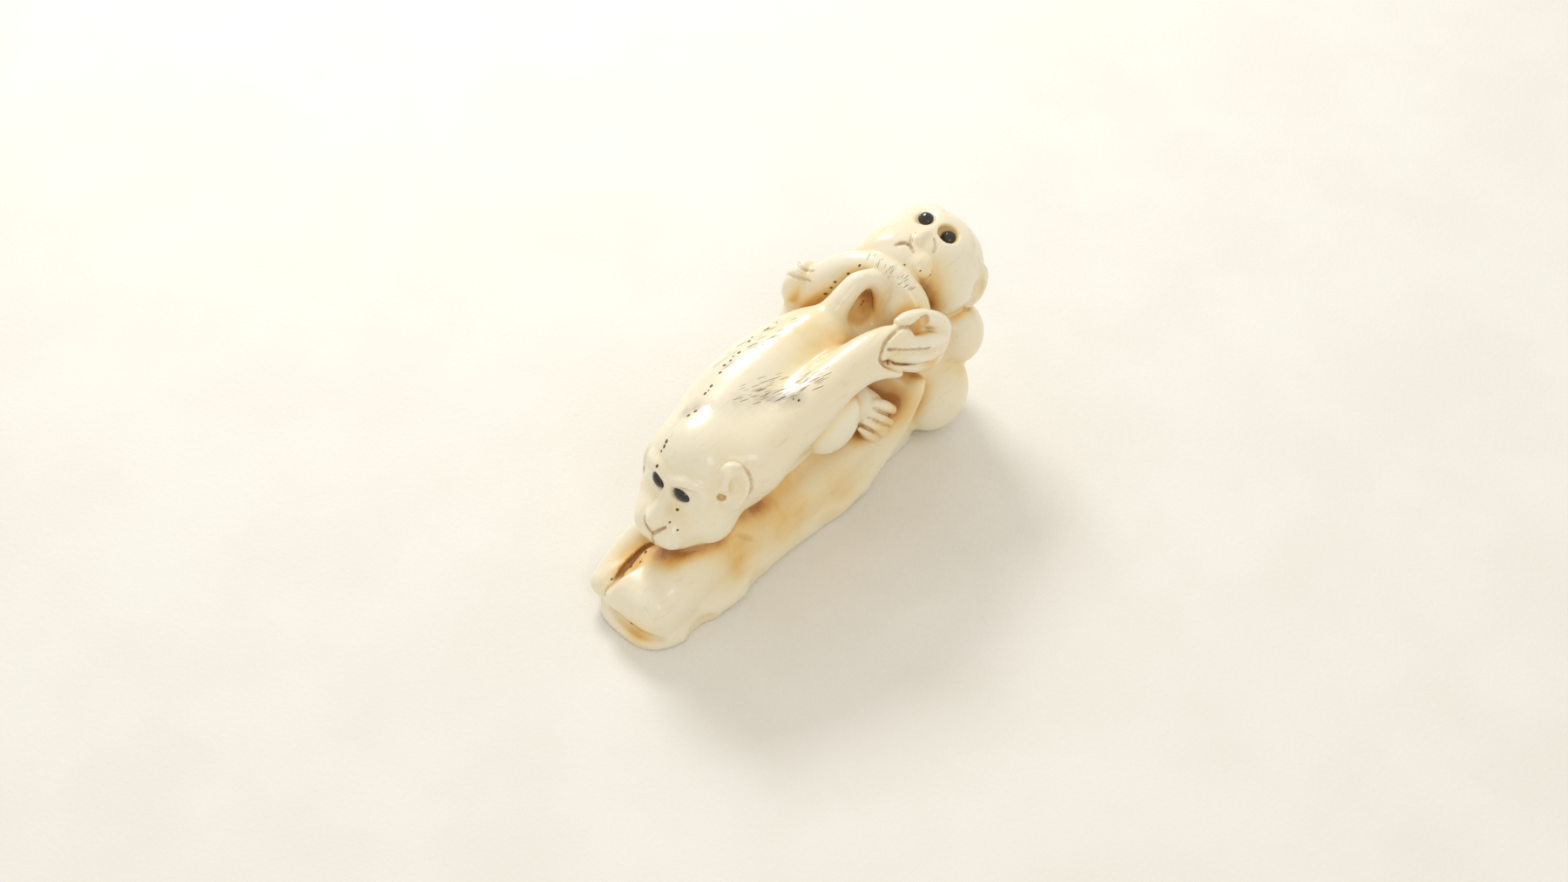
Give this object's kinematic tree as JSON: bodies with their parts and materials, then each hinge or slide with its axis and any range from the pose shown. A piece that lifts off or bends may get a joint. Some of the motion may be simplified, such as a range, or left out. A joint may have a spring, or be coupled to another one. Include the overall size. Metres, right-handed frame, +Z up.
{
  "type": "netsuke",
  "caption": "Small carved toggle of a monkey lying on a curled leaf while a second monkey behind it holds its tail and looks up.",
  "frame": {"origin": "on the ground under the middle of the carving's box", "axes": "+Z up, +Y along the carving from the front monkey's face to the rear monkey, +X to both monkeys' left"},
  "size_m": [0.0172, 0.0528, 0.0241],
  "materials": {
    "bone": "polished bone with worn brown stain in the hollows",
    "eye": "polished black"
  },
  "bodies": {
    "root": {"carved_monkeys": "bone", "front_monkey_left_eye": "eye", "front_monkey_right_eye": "eye", "rear_monkey_left_eye": "eye", "rear_monkey_right_eye": "eye"}
  },
  "joints": []
}
